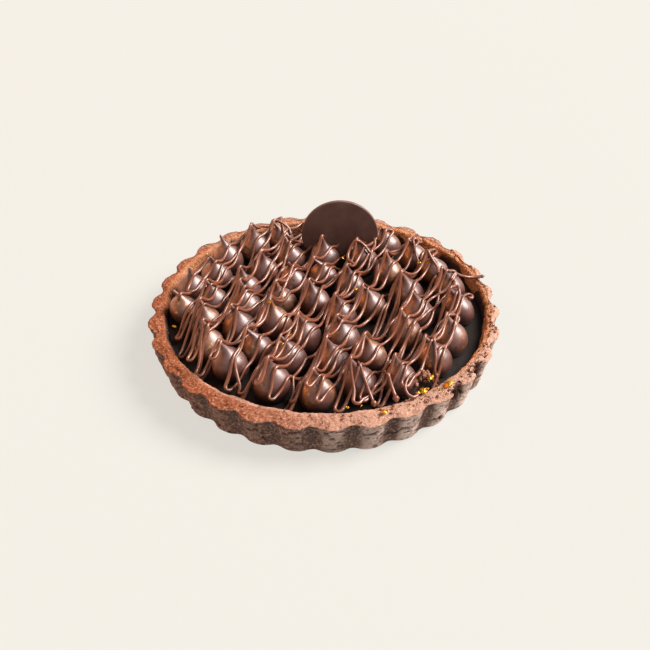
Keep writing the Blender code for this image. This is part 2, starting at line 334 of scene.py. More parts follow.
def drizzled_milk_chocolate():
    """Milk chocolate drizzled warm and set: glossier and a little lighter than the dollops, its brown wandering in
    soft clouds."""
    made, tree, shader = new_finish("drizzled_milk_chocolate", IOR=1.5, Coat_Weight=0.9,
                                    Coat_Roughness=0.36, Coat_IOR=1.6)
    place = add_node(tree, "ShaderNodeTexCoord").outputs["Object"]
    clouds = add_node(tree, "ShaderNodeTexNoise",
                      {"Vector": place, "Scale": per_metre(2.5), "Detail": 3.0}).outputs["Fac"]
    colour = blend(tree, clouds, "5f321f", "965739")
    tree.links.new(colour, shader.inputs["Base Color"])
    rough = add_node(tree, "ShaderNodeMapRange", {0: clouds, 3: 0.34, 4: 0.50}).outputs[0]
    tree.links.new(rough, shader.inputs["Roughness"])
    skin = add_node(tree, "ShaderNodeBump", {"Height": clouds, "Strength": 0.4, "Distance": 0.3 * MM})
    tree.links.new(skin.outputs["Normal"], shader.inputs["Normal"])
    return made


def moulded_dark_chocolate():
    """Tempered dark chocolate set on film: flat, even, satin, with faint clouds of bloom."""
    made, tree, shader = new_finish("moulded_dark_chocolate", IOR=1.5)
    place = add_node(tree, "ShaderNodeTexCoord").outputs["Object"]
    bloom = add_node(tree, "ShaderNodeTexNoise",
                     {"Vector": place, "Scale": per_metre(6.0), "Detail": 4.0}).outputs["Fac"]
    bloom = add_node(tree, "ShaderNodeMapRange", {0: bloom, 1: 0.35, 2: 0.65}).outputs[0]
    colour = blend(tree, bloom, "6f534a", "7d6056")
    tree.links.new(colour, shader.inputs["Base Color"])
    rough = add_node(tree, "ShaderNodeMapRange", {0: bloom, 3: 0.38, 4: 0.48}).outputs[0]
    tree.links.new(rough, shader.inputs["Roughness"])
    grit = add_node(tree, "ShaderNodeTexNoise",
                    {"Vector": place, "Scale": per_metre(0.6), "Detail": 3.0}).outputs["Fac"]
    skin = add_node(tree, "ShaderNodeBump", {"Height": grit, "Strength": 0.2, "Distance": 0.1 * MM})
    tree.links.new(skin.outputs["Normal"], shader.inputs["Normal"])
    return made


def set_dark_ganache():
    """Ganache poured and set level: nearly black and satin, with shallow ripples."""
    made, tree, shader = new_finish("set_dark_ganache", IOR=1.4)
    place = add_node(tree, "ShaderNodeTexCoord").outputs["Object"]
    ripples = add_node(tree, "ShaderNodeTexNoise",
                       {"Vector": place, "Scale": per_metre(4.0), "Detail": 4.0}).outputs["Fac"]
    colour = blend(tree, ripples, "16100d", "261b16")
    tree.links.new(colour, shader.inputs["Base Color"])
    rough = add_node(tree, "ShaderNodeMapRange", {0: ripples, 3: 0.45, 4: 0.65}).outputs[0]
    tree.links.new(rough, shader.inputs["Roughness"])
    skin = add_node(tree, "ShaderNodeBump", {"Height": ripples, "Strength": 0.5, "Distance": 0.6 * MM})
    tree.links.new(skin.outputs["Normal"], shader.inputs["Normal"])
    return made


def beaten_gold_leaf():
    """Edible gold leaf: metal a few atoms thick, crumpled, so that it glints in patches."""
    made, tree, shader = new_finish("beaten_gold_leaf", Metallic=1.0)
    place = add_node(tree, "ShaderNodeTexCoord").outputs["Object"]
    creases = add_node(tree, "ShaderNodeTexNoise",
                       {"Vector": place, "Scale": per_metre(0.8), "Detail": 4.0}).outputs["Fac"]
    tree.links.new(blend(tree, creases, "e09a1e", "ffd25e"), shader.inputs["Base Color"])
    rough = add_node(tree, "ShaderNodeMapRange", {0: creases, 3: 0.28, 4: 0.55}).outputs[0]
    tree.links.new(rough, shader.inputs["Roughness"])
    crumple = add_node(tree, "ShaderNodeBump", {"Height": creases, "Strength": 0.8, "Distance": 0.3 * MM})
    tree.links.new(crumple.outputs["Normal"], shader.inputs["Normal"])
    return made


# ---------------------------------------------------------------- crust

def unevenness(turn):
    """Slow wander of the rim, between 0 and 1: three sines that fit the circle 2, 3 and 7 times."""
    wave = np.sin(2 * turn + 0.6) + 0.8 * np.sin(3 * turn + 2.1) + 0.6 * np.sin(7 * turn)
    return 0.5 + 0.5 * wave / 2.4


def notch(turn):
    """0 on a lobe and 1 between two lobes, as a power of a raised cosine."""
    phase = FLUTES * (turn - FIRST_LOBE - FLUTE_DRIFT * np.cos(turn))
    return (0.5 - 0.5 * np.cos(phase)) ** NOTCH_POWER


def outside(turn, share, inset):
    """Points of the fluted wall at a share of its height, inset from the surface."""
    depth = BASE_NOTCH + (RIM_NOTCH - BASE_NOTCH) * share
    radius = BASE_RADIUS + (RIM_RADIUS - BASE_RADIUS) * share
    radius = radius - depth * notch(turn) - WANDER * unevenness(turn) - inset
    return np.stack([radius * np.cos(turn), radius * np.sin(turn) + RIM_SHIFT * share], -1)


def inside(turn, share, inset):
    """Points of the hollow's wall at a share of its height, inset into the crust."""
    radius = HOLLOW_RADIUS - HOLLOW_TAPER * (1.0 - share) + inset
    return HOLLOW_CENTRE + np.stack([radius * HOLLOW_STRETCH * np.cos(turn), radius * np.sin(turn)], -1)


# Places where the wall crumbled, as (degrees from +X, height, half width, half height)
TORN_SPOTS = ((-43.5, 10.0, 3.8, 4.2), (-31.5, 10.5, 3.2, 4.6), (-38.0, 3.6, 1.6, 1.2), (-50.0, 3.5, 1.3, 1.0))
CRACK_FROM = (-72.0, 4.2)          # a crack across the front lobes, as (degrees, height)
CRACK_TO = (-56.0, 8.2)
CRACK_WIDTH = 0.45
INSET = 0.25                       # the outside stays this far in, so that its lumps don't stand out


def damage(turn, height, points):
    """How far the wall is torn and cracked at each point, from 0 to 1. A torn spot is an oval
    with a ragged edge; the crack is a band round a wavy line."""
    shift = 0.45 * lumps(points, 1.6, 6)
    torn = 0.0
    for angle, middle, wide, tall in TORN_SPOTS:
        beside = np.angle(np.exp(1j * (turn - math.radians(angle)))) * RIM_RADIUS
        away = np.hypot(beside / wide, (height - middle) / tall) + shift
        torn = np.maximum(torn, ramp(away, 1.0, 0.8))
    share = (np.degrees(np.angle(np.exp(1j * turn))) - CRACK_FROM[0]) / (CRACK_TO[0] - CRACK_FROM[0])
    line = CRACK_FROM[1] + (CRACK_TO[1] - CRACK_FROM[1]) * share + 0.9 * np.sin(share * 17.0)
    near = ramp(np.abs(height - line - shift), CRACK_WIDTH, 0.1)
    return torn, near * ramp(share, 0.0, 0.1) * ramp(share, 1.0, 0.9)


def add_crust(finish):
    """The crust as one closed grid. Each column is its outline at one turn: up the fluted wall,
    round the outer edge, over the rim, round the inner edge and down inside."""
    turn = np.linspace(0.0, FULL, 1080, endpoint=False)[None, :]
    top = CRUST_HEIGHT - 0.15 - WANDER * unevenness(turn + 1.0)
    ones = np.ones_like(turn)
    rows = []
    tones = []

    def lay(flat, height, wall, across):
        rows.append(np.concatenate([flat[0], np.broadcast_to(height, turn.shape)[0][:, None]], -1))
        tones.append((wall, across))

    lay(outside(turn, 0.0 * ones, FOOT_EDGE), 0.0, 1.0, 1.0)
    for angle in np.linspace(0.25, 1.0, 3) * math.pi / 2:
        lay(outside(turn, 0.0 * ones, FOOT_EDGE * (1 - math.sin(angle))),
            FOOT_EDGE * (1 - math.cos(angle)), 1.0, 1.0)
    for share in np.linspace(0.0, 1.0, 34)[1:]:
        height = FOOT_EDGE + (top - OUTER_EDGE - FOOT_EDGE) * share
        lay(outside(turn, height / CRUST_HEIGHT, 0.0), height, 1.0, 1.0)
    for angle in np.linspace(0.0, 1.0, 7)[1:] * math.pi / 2:
        lay(outside(turn, ones, OUTER_EDGE * (1 - math.cos(angle))),
            top - OUTER_EDGE * (1 - math.sin(angle)), 1.0 - math.sin(angle), 1.0)
    outer = outside(turn, ones, OUTER_EDGE)
    inner = inside(turn, ones, INNER_EDGE)
    for share in np.linspace(0.0, 1.0, 20)[1:]:
        lay(outer + (inner - outer) * share, top + 0.25 * math.sin(math.pi * share), 0.0, 1.0 - share)
    for angle in np.linspace(0.0, 1.0, 9)[1:] * math.pi / 2:
        lay(inside(turn, ones, INNER_EDGE * (1 - math.sin(angle))),
            top - INNER_EDGE * (1 - math.cos(angle)), 0.0, -0.12 * angle)
    for share in np.linspace(0.0, 1.0, 13)[1:]:
        height = top - INNER_EDGE + (FILLING_TOP - 1.0 - top + INNER_EDGE) * share
        lay(inside(turn, (height - FLOOR) / (CRUST_HEIGHT - FLOOR), 0.0), height, 0.0, -0.19 - share)
    lay(inside(turn, 0.0 * ones, 0.0), FLOOR, 0.0, -1.0)

    points = np.stack(rows)
    wall = np.repeat([t[0] for t in tones], turn.size).reshape(points.shape[:2])
    across = np.repeat([t[1] for t in tones], turn.size).reshape(points.shape[:2])
    normals = grid_normals(points)
    height = points[..., 2]
    recess = notch(turn) * np.ones_like(height)
    ragged = 0.30 * lumps(points, 4.0, 1) + 0.20 * lumps(points, 1.5, 2) + 0.12 * lumps(points, 0.7, 3)
    smooth = 1.0 - 0.65 * wall * ramp(recess, 0.35, 0.8)
    pores = ramp(lumps(points, 1.1, 4), 0.42, 0.7)
    flakes = points * np.array([1.0, 1.0, 2.8])
    seams = wall * (1.0 - ramp(recess, 0.3, 0.7)) * ramp(lumps(flakes, 2.2, 5), 0.30, 0.55)
    torn, crack = damage(turn, height, points)
    torn, crack = torn * np.maximum(wall, ramp(across, 0.75, 0.9)), crack * wall
    relief = smooth * (ragged - 0.3 * pores - 0.6 * seams) - INSET * ramp(across, 0.3, 0.8)
    relief = relief - torn * (1.7 + 0.9 * lumps(points, 1.2, 7)) - 0.8 * crack
    loose = np.where(wall > 0.5, ramp(height, 0.1, 1.2),
                     ramp(height, 0.2, 1.5) * ramp(height, FLOOR, FILLING_TOP - 0.5))
    points = points + normals * (relief * loose)[..., None]
    # painted shade: pores, seams, cracks and the cavities of torn spots are painted dark
    cavity = ramp(lumps(points, 1.6, 8), 0.35, 0.05)
    hollow = smooth * ((0.10 + 0.5 * wall) * pores + 0.8 * seams) + crack + torn * cavity
    hollow = np.clip(hollow, 0.0, 0.9)
    # painted light: the lobes are made paler, a little all round and most where they face the light at the front
    # right
    sunny = ramp(np.cos(turn - math.radians(-42.0)), 0.45, 0.95)
    lobe = ramp(1.0 - recess, 0.25, 0.9)
    painted_light_on_lobes = wall * lobe * (0.10 + 0.90 * sunny) * (0.75 + 0.25 * lumps(points, 3.0, 9))
    # painted shade in the recesses between the lobes, stronger higher up
    shade = wall * ramp(recess, 0.35, 0.85) * (0.55 + 0.45 * ramp(height, 3.0, 9.0))
    # paler outer band of the rim top on the right and paler inner edge at the front; the last term is painted light
    # on the rim's sunny front right
    eastern = ramp(np.cos(turn - math.radians(-5.0)), 0.45, 0.9)
    pale = (1.0 - wall) * ramp(across, 0.35, 0.75) * eastern * 0.75
    front = ramp(np.cos(turn - math.radians(-80.0)), 0.3, 0.8)
    pale = np.maximum(pale, 0.55 * (1.0 - wall) * front * ramp(across, 0.10, 0.02) * ramp(across, -0.3, 0.0))
    pale = np.maximum(pale, 0.5 * (1.0 - wall) * sunny * ramp(across, 0.0, 0.1))
    # painted warm light on the left side, where the warm lamp from the left falls
    painted_warm_light_left = ramp(np.cos(turn - math.radians(-165.0)), 0.1, 0.9) * np.ones_like(height)
    # darker down the inner wall towards the filling; at the back right and back left the darkening starts lower
    late_darkening = np.maximum(ramp(np.cos(turn - math.radians(30.0)), 0.1, 0.7),
                     ramp(np.cos(turn - math.radians(125.0)), 0.5, 0.9))
    late_darkening = late_darkening * ramp(lumps(points, 9.0, 14), -0.35, -0.05)
    reached = across + 0.05 * lumps(points, 2.0, 10) + 0.75 * late_darkening
    darker_inside = (1.0 - wall) * ramp(reached, -0.06, -0.24)
    # painted light on the inner edge and wall at the back right and back left, which the lamps leave in shade
    turned = np.maximum(ramp(np.cos(turn - math.radians(30.0)), 0.1, 0.6),
                        0.6 * ramp(np.cos(turn - math.radians(125.0)), 0.6, 0.9))
    painted_lip_light = (1.0 - wall) * ramp(across + 0.04 * lumps(points, 2.0, 15), 0.10, 0.0) * turned
    count, columns = points.shape[:2]
    low = np.array([[0.0, 0.0, 0.0]])
    high = np.array([[*HOLLOW_CENTRE, FLOOR]])
    flat = np.concatenate([points.reshape(-1, 3), low, high])
    faces = [grid_faces(count, columns),
             fan_faces(np.arange(columns), count * columns, flip=True),
             fan_faces(np.arange(columns) + (count - 1) * columns, count * columns + 1)]
    ends = [0.0, 0.0]
    tones = {name: np.concatenate([values.ravel(), ends]) for name, values in
             (("wall", wall), ("painted_light_on_lobes", painted_light_on_lobes), ("recess", shade), ("hollow", hollow),
              ("pale", pale), ("torn", torn), ("painted_warm_light_left", painted_warm_light_left), ("painted_lip_light", painted_lip_light), ("darker_inside", darker_inside))}
    return add_piece("shortcrust", flat, faces, finish, "crust", tones)


# ---------------------------------------------------------------- dollops

# Shares of a dollop's height and of its belly: a broad dome, then hollow flanks up to a spike
PIPED_PROFILE = ((0.0, 0.86), (0.10, 0.97), (0.24, 1.0), (0.38, 0.95), (0.50, 0.83), (0.60, 0.62),
                 (0.68, 0.41), (0.76, 0.26), (0.86, 0.155), (0.95, 0.10), (1.0, 0.045))


def read_dollop(node):
    """Foot centre, belly radius, lowest point, height and lean of a dollop in the frame, in
    millimetres. Its foot has ten corners and reaches 0.86 of the belly; the side next to the
    disc is pressed flat, so the centre is counted from the side away from the disc."""
    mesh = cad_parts[node].data
    found = np.empty(len(mesh.vertices) * 3)
    mesh.vertices.foreach_get("co", found)
    found = found.reshape(-1, 3) / MM
    low, high = found[:, 2].min(), found[:, 2].max()
    foot = found[found[:, 2] < low + 0.01]
    reach = 0.5 * (foot[:, 0].max() - foot[:, 0].min())
    deep = reach * math.sin(math.radians(72.0))
    before = foot[:, 1].mean() < DISC_Y
    centre = np.array([0.5 * (foot[:, 0].max() + foot[:, 0].min()),
                       foot[:, 1].min() + deep if before else foot[:, 1].max() - deep])
    tip = found[np.argmax(found[:, 2]), :2]
    return centre, reach / 0.86, low, high - low, tip - centre


def dollop_grid(node, rng):
    """A dollop as rows from foot to tip. Its radius follows PIPED_PROFILE, smoothed, and tips
    over a little unevenly; the axis bends over with the 1.7th power of height, and the tip
    curls a little more."""
    centre, radius, low, height, lean = read_dollop(node)
    rise = np.linspace(0.0, 1.0, 48)[:, None] ** 0.95
    turn = np.linspace(0.0, FULL, 56, endpoint=False)[None, :]
    heights, widths = np.array(PIPED_PROFILE).T
    slope = np.gradient(widths, heights)
    k = np.clip(np.searchsorted(heights, rise) - 1, 0, len(heights) - 2)
    span = heights[k + 1] - heights[k]
    t = (rise - heights[k]) / span
    body = ((2 * t ** 3 - 3 * t ** 2 + 1) * widths[k] + (t ** 3 - 2 * t ** 2 + t) * span * slope[k]
            + (3 * t ** 2 - 2 * t ** 3) * widths[k + 1] + (t ** 3 - t ** 2) * span * slope[k + 1])
    uneven = 1.0 + 0.03 * np.sin(2 * turn + rng.uniform(0, FULL)) + 0.02 * np.sin(3 * turn + rng.uniform(0, FULL) + 4 * rise)
    wide = radius * body * uneven
    curl = np.array([rng.normal(-0.6, 0.6), rng.normal(0.0, 0.5)])
    bend = lean[None, None, :] * (rise ** 1.7)[..., None] + curl * (ramp(rise, 0.72, 1.0))[..., None]
    flat = centre + bend + np.stack([wide * np.cos(turn), wide * np.sin(turn)], -1)
    tall = np.broadcast_to(low + height * rise, wide.shape)
    if abs(centre[0] - DISC_CENTRE[0]) < DISC_RADIUS:
        middle = DISC_CENTRE[1] + (tall - DISC_CENTRE[2]) * math.tan(DISC_LEAN)
        beside = 0.5 * DISC_THICKNESS / math.cos(DISC_LEAN) + CLEARANCE
        if centre[1] < DISC_Y:
            flat[..., 1] = np.minimum(flat[..., 1], middle - beside)
        else:
            flat[..., 1] = np.maximum(flat[..., 1], middle + beside)
    return np.concatenate([flat, tall[..., None]], -1)


def add_dollops(finish):
    """One piece for each dollop. Returns the grids, for the threads to lie on."""
    rng = np.random.default_rng(5)
    gold_and_warm_rng = np.random.default_rng(9)
    grids = []
    for node in sorted(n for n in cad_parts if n.startswith("dollop_")):
        points = dollop_grid(node, rng)
        rows, columns = points.shape[:2]
        foot = points[0].mean(0)
        tip = points[-1].mean(0)
        grids.append(points)
        flat = np.concatenate([points.reshape(-1, 3), foot[None], tip[None]])
        faces = [grid_faces(rows, columns), fan_faces(np.arange(columns), rows * columns, flip=True),
                 fan_faces(np.arange(columns) + (rows - 1) * columns, rows * columns + 1)]
        normals = grid_normals(points)
        # gold dusting here and there, and on the left flanks painted warm light where the warm lamp from the left
        # falls
        gold_dust_and_warm_light = 0.0
        for azimuth, strength in ((-165.0, gold_and_warm_rng.choice([0.35, 0.6, 1.0, 1.0])),
                                  (gold_and_warm_rng.uniform(-90.0, 30.0), gold_and_warm_rng.choice([0.0, 0.0, 0.0, 0.45]))):
            towards = np.array([math.cos(math.radians(azimuth)), math.sin(math.radians(azimuth)), 0.25])
            gold_dust_and_warm_light = np.maximum(gold_dust_and_warm_light, strength * ramp(normals @ towards, 0.25, 0.85))
        rise = (points[..., 2] - foot[2]) / (tip[2] - foot[2])
        # painted shade: the dollop darkens to nearly black towards its foot
        painted_foot_shade = 0.9 * ramp(rise + 0.06 * lumps(points, 3.0, 12), 0.40, 0.06)
        tones = {"gold_dust_and_warm_light": np.append(gold_dust_and_warm_light.ravel(), [0.0, 0.0]), "foot": np.append(painted_foot_shade.ravel(), [0.9, 0.0])}
        add_piece("piped_" + node, flat, faces, finish, node, tones)
    return grids


# ---------------------------------------------------------------- threads

CELL = 0.3             # spacing of the height map that the threads fall on
REACH = 63.0
STROKE_REACH = 50.8    # how far from the middle the hairpins lie
FAR_END_SHORTER = 4.5
PINCH = 9.0            # the last stretch of a stroke, over which it nears its neighbour
TIP_PULL = 1.5         # a stroke that passes a tip by less than this is drawn onto it
SINK = 0.2             # how far a warm thread melts into what it lies on

# Short threads off the pattern, each a route in the plane and the radius of the drop at its end
STRAYS = (
    (((34.0, -38.5), (37.5, -31.8), (39.9, -24.9), (42.2, -19.6), (43.5, -15.5), (45.7, -5.9),
      (48.2, 2.1), (49.8, 4.8), (51.2, 4.0), (50.6, 2.4), (49.4, 2.8)), 0.0),
    (((44.0, 10.5), (46.5, 14.5), (48.8, 16.7), (51.7, 17.8), (54.6, 18.4), (57.0, 18.9)), 0.75),
    (((-19.5, 41.0), (-18.2, 44.8), (-15.6, 46.8), (-12.8, 46.4), (-12.0, 44.0)), 0.6),
    (((31.5, 34.0), (33.4, 38.0), (35.8, 40.6), (35.8, 42.6), (33.6, 43.2)), 0.0),
    (((10.5, -37.0), (13.0, -42.5), (15.0, -46.6), (15.8, -49.4)), 1.15),
    (((18.5, -36.0), (20.5, -41.5), (22.2, -45.6), (22.8, -48.2)), 1.25),
    (((28.5, -37.5), (26.2, -41.0), (25.6, -44.4), (27.6, -46.2), (29.4, -44.8), (28.6, -42.8)), 0.9),
    (((-40.5, 20.5), (-45.5, 13.0), (-47.3, 8.2), (-46.2, 7.0), (-44.6, 8.6), (-41.5, 14.5)), 0.0),
    (((10.8, 22.2), (8.6, 25.6), (10.2, 29.6), (14.0, 30.6), (17.2, 28.6)), 0.0),
    (((35.5, 26.0), (37.6, 22.6), (40.0, 19.4), (40.4, 15.8)), 0.7),
)


def cell_of(flat):
    """Row and column of the height map for points in the plane."""
    return np.round((flat + REACH) / CELL).astype(int)


def height_map(grids):
    """Height of everything that a thread can land on, on a square grid: filling and rim by
    radius, then each dollop's grid points raise the cells that they fall in."""
    count = int(2 * REACH / CELL) + 1
    x, y = np.meshgrid(np.arange(count) * CELL - REACH, np.arange(count) * CELL - REACH, indexing="ij")
    away = np.hypot((x - HOLLOW_CENTRE[0]) / HOLLOW_STRETCH, y - HOLLOW_CENTRE[1])
    heights = FILLING_TOP + (CRUST_HEIGHT - FILLING_TOP) * ramp(away, HOLLOW_RADIUS - 0.6, HOLLOW_RADIUS + 0.6)
    for points in grids:
        fine = [points]
        for _ in range(2):
            last = fine[-1]
            last = np.concatenate([last, 0.5 * (last + np.roll(last, -1, 1))], 1) if len(fine) % 2 else last
            middle = 0.5 * (last[:-1] + last[1:])
            fine.append(np.concatenate([last, middle], 0))
        for block in fine:
            at = cell_of(block[..., :2].reshape(-1, 2))
            np.maximum.at(heights, (at[:, 0], at[:, 1]), block[..., 2].ravel())
    return heights


def rest_on(heights, thick):
    """The lowest height at which a ball of radius thick clears the map: the largest, over the
    cells under the ball, of the map's height plus the ball's own depth there."""
    steps = int(math.ceil(thick / CELL))
    out = heights + thick
    for i in range(-steps, steps + 1):
        for j in range(-steps, steps + 1):
            far = math.hypot(i, j) * CELL
            if far < thick:
                ball = math.sqrt(thick * thick - far * far)
                out = np.maximum(out, np.roll(heights, (i, j), (0, 1)) + ball)
    return out


def read_map(heights, flat):
    """Height at points in the plane, blended between the four nearest cells."""
    place = (flat + REACH) / CELL
    cell = np.clip(np.floor(place).astype(int), 0, heights.shape[0] - 2)
    part = np.clip(place - cell, 0.0, 1.0)
    i, j = cell[:, 0], cell[:, 1]
    low = heights[i, j] * (1 - part[:, 1]) + heights[i, j + 1] * part[:, 1]
    high = heights[i + 1, j] * (1 - part[:, 1]) + heights[i + 1, j + 1] * part[:, 1]
    return low * (1 - part[:, 0]) + high * part[:, 0]


def evenly(route, step):
    """A route through points, walked again in equal steps."""
    length = np.concatenate([[0.0], np.cumsum(np.linalg.norm(np.diff(route, axis=0), axis=1))])
    at = np.arange(0.0, length[-1], step)
    return np.stack([np.interp(at, length, route[:, k]) for k in range(route.shape[1])], -1)


def zigzag(angle, spacing, tips, rng, first=-47.0, last=47.0):
    """A thread laid to and fro. Each stroke runs in one direction with a wander of a few sines,
    is drawn onto a tip that it passes close to, and narrows towards its neighbour over the last
    PINCH millimetres, where a half circle joins the two as a tight hairpin."""
    along = np.array([math.cos(angle), math.sin(angle)])
    side = np.array([math.sin(angle), -math.cos(angle)])
    offsets = [first]
    while offsets[-1] < last:
        offsets.append(offsets[-1] + spacing * rng.uniform(0.5, 1.5))
    offsets = np.array(offsets)
    middles = 0.5 * (offsets[:-1] + offsets[1:])
    widths = np.minimum(0.5 * np.diff(offsets), rng.uniform(0.8, 1.35, len(middles)))
    reach = STROKE_REACH + rng.uniform(-2.0, 0.6, len(middles)) + 1.6 * ramp(middles, 5.0, -20.0)
    reach[1::2] -= FAR_END_SHORTER * ramp(middles, -32.0, -20.0)[1::2]
    far = np.sqrt(np.maximum(reach * reach - middles * middles, 40.0))
    route = []
    for k in range(1, len(offsets) - 1):
        way = 1 if k % 2 else -1
        behind, ahead = -way * far[k - 1], way * far[k]
        go = np.linspace(behind, ahead, int(abs(ahead - behind) / 0.4))
        drift = offsets[k] + 0.9 * waves(go, 40.0, 3, rng)
        order = np.argsort(go)
        for tip in tips:
            t_along, t_side = tip @ along, tip @ side
            miss = t_side - np.interp(t_along, go[order], drift[order])
            if abs(miss) < TIP_PULL:
                drift = drift + 0.9 * miss * np.exp(-((go - t_along) / 5.5) ** 2)
        leave = ramp(np.abs(go - behind), PINCH, 0.0)
        join = ramp(np.abs(go - ahead), PINCH, 0.0)
        drift = drift + leave * (middles[k - 1] + widths[k - 1] - drift)
        drift = drift + join * (middles[k] - widths[k] - drift)
        bow = np.linspace(0.0, math.pi, 10)[1:-1]
        hook = ahead + way * 1.1 * widths[k] * np.sin(bow)
        go = np.concatenate([go, hook])
        drift = np.concatenate([drift, middles[k] - widths[k] * np.cos(bow)])
        route.append(HOLLOW_CENTRE + go[:, None] * along + drift[:, None] * side)
    return evenly(np.concatenate(route), 0.4)


def curve_through(points, step=0.4):
    """A smooth route through points: each stretch is the cubic whose end slopes are half the
    step between the points on either side."""
    points = np.asarray(points, float)
    ends = np.concatenate([[2 * points[0] - points[1]], points, [2 * points[-1] - points[-2]]])
    t = np.linspace(0.0, 1.0, 12, endpoint=False)[:, None]
    route = []
    for before, start, end, after in zip(ends, ends[1:], ends[2:], ends[3:]):
        out, into = 0.5 * (end - before), 0.5 * (after - start)
        route.append((2 * t ** 3 - 3 * t ** 2 + 1) * start + (t ** 3 - 2 * t ** 2 + t) * out
                     + (3 * t ** 2 - 2 * t ** 3) * end + (t ** 3 - t ** 2) * into)
    return evenly(np.concatenate(route + [points[-1:]]), step)


def fall(flat, support, sag=0.13):
    """Height of a limp thread on its way over the map. Starting from the surface, each point
    rises to the mean of its two neighbours less a small drop, unless the surface holds it up:
    free stretches hang as parabolas between what they touch."""
    ground = read_map(support, flat)
    step = 0.4
    drop = 0.5 * sag * step * step
    height = ground.copy()
    for _ in range(1600):
        mean = 0.5 * (height[:-2] + height[2:]) - drop
        height[1:-1] = np.maximum(ground[1:-1], mean)
    return height


def tube(route, thick, sides=8):
    """Rings of a round tube along a route: each point's circle stands across its direction."""
    along = unit(np.gradient(route, axis=0))
    side = unit(np.cross(along, np.array([0.0, 0.0, 1.0])))
    up = np.cross(side, along)
    turn = np.linspace(0.0, FULL, sides, endpoint=False)
    ring = np.cos(turn)[None, :, None] * side[:, None, :] + np.sin(turn)[None, :, None] * up[:, None, :]
    return route[:, None, :] + ring * np.asarray(thick).reshape(-1, 1, 1)


def lay_thread(name, finish, heights, flat, thick, drop, rng):
    """One thread along a route in the plane: it falls on the map, which it then raises for the
    next one. Its radius wavers, its ends are round, and its last end may swell to a drop."""
    height = fall(flat, rest_on(heights, thick) - SINK)
    route = np.concatenate([flat, height[:, None]], -1)
    for _ in range(2):
        route[1:-1] = 0.25 * route[:-2] + 0.5 * route[1:-1] + 0.25 * route[2:]
    length = np.arange(len(route)) * 0.4
    radius = thick * (1.0 + 0.20 * waves(length, 23.0, 3, rng))
    if drop:
        radius = np.maximum(radius, drop * np.exp(-((length[-1] - length - drop) / drop) ** 2))
    ends = np.minimum(length, length[-1] - length) + 0.1
    radius = radius * np.sqrt(np.clip(ends / (1.2 * radius), 0.05, 1.0))
    rings = tube(route, radius)
    cells = cell_of(route[:, :2])
    np.maximum.at(heights, (cells[:, 0], cells[:, 1]), route[:, 2] + 0.4 * radius)
    rows, columns = rings.shape[:2]
    points = np.concatenate([rings.reshape(-1, 3), route[:1], route[-1:]])
    faces = [grid_faces(rows, columns), fan_faces(np.arange(columns), rows * columns, flip=True),
             fan_faces(np.arange(columns) + (rows - 1) * columns, rows * columns + 1)]
    add_piece(name, points, faces, finish)


def add_threads(finish, grids):
    """The drizzled threads: a dense pass of zigzag, a sparse one across it, and the strays."""
    rng = np.random.default_rng(21)
    tips = np.array([points[-1].mean(0)[:2] - HOLLOW_CENTRE for points in grids])
    heights = height_map(grids)
    passes = ((math.radians(63), 2.7, 0.55), (math.radians(68), 8.0, 0.52))
    for number, (angle, spacing, thick) in enumerate(passes, start=1):
        lay_thread(f"drizzle_{number}", finish, heights, zigzag(angle, spacing, tips, rng), thick, 0.0, rng)
    for number, (places, drop) in enumerate(STRAYS, start=1):
        lay_thread(f"stray_thread_{number}", finish, heights, curve_through(places), 0.52, drop, rng)


# ---------------------------------------------------------------- crumbs and gold

def add_specks(name, finish, places, sizes, flatness, seed):
    """Many small closed lumps as one piece: spheres of 6 rows by 8 columns, squashed by
    flatness, turned at random, and made ragged by noise. places are their centres and sizes
    their radii; a flat one is tilted a little at random and a round one lies anyhow."""
    rng = np.random.default_rng(seed)
    count, rows, columns = len(places), 6, 8
    tilt = np.linspace(0.0, math.pi, rows + 2)[1:-1][:, None]
    turn = np.linspace(0.0, FULL, columns, endpoint=False)[None, :]
    ball = np.stack([np.sin(tilt) * np.cos(turn), np.sin(tilt) * np.sin(turn), -np.cos(tilt) + 0 * turn], -1)
    ball = np.concatenate([ball.reshape(-1, 3), [[0.0, 0.0, -1.0], [0.0, 0.0, 1.0]]])
    ball = ball[None] * (1.0 + 0.30 * rng.normal(0.0, 1.0, (count, len(ball), 1)).clip(-1.2, 1.2))
    ball = ball * np.stack([np.ones(count), rng.uniform(0.6, 1.0, count), np.full(count, flatness)], -1)[:, None, :]
    ball[..., 2] += (1.0 - flatness) * 0.22 * rng.normal(0.0, 1.0, ball.shape[:2]).clip(-1.2, 1.2) * flatness ** 0.5
    spin = rng.uniform(0.0, FULL, count)
    lean = rng.uniform(-0.5, 0.5, count) * (1.0 if flatness < 0.5 else 2.0)
    spun = np.stack([ball[..., 0] * np.cos(spin)[:, None] - ball[..., 1] * np.sin(spin)[:, None],
                     ball[..., 0] * np.sin(spin)[:, None] + ball[..., 1] * np.cos(spin)[:, None], ball[..., 2]], -1)
    leant = np.stack([spun[..., 0] * np.cos(lean)[:, None] + spun[..., 2] * np.sin(lean)[:, None],
                      spun[..., 1], spun[..., 2] * np.cos(lean)[:, None] - spun[..., 0] * np.sin(lean)[:, None]], -1)
    points = places[:, None, :] + leant * np.asarray(sizes)[:, None, None]
    grid, low, high = (grid_faces(rows, columns), fan_faces(np.arange(columns), rows * columns, flip=True),
                       fan_faces(np.arange(columns) + (rows - 1) * columns, rows * columns + 1))
    shift = (np.arange(count) * (rows * columns + 2))[:, None, None]
    faces = [(grid[None] + shift).reshape(-1, 4), (low[None] + shift).reshape(-1, 3),
             (high[None] + shift).reshape(-1, 3)]
    add_piece(name, points.reshape(-1, 3), faces, finish)


def rim_top(turn):
    """Height of the rim's top face."""
    return CRUST_HEIGHT + 0.1 - WANDER * unevenness(turn + 1.0)


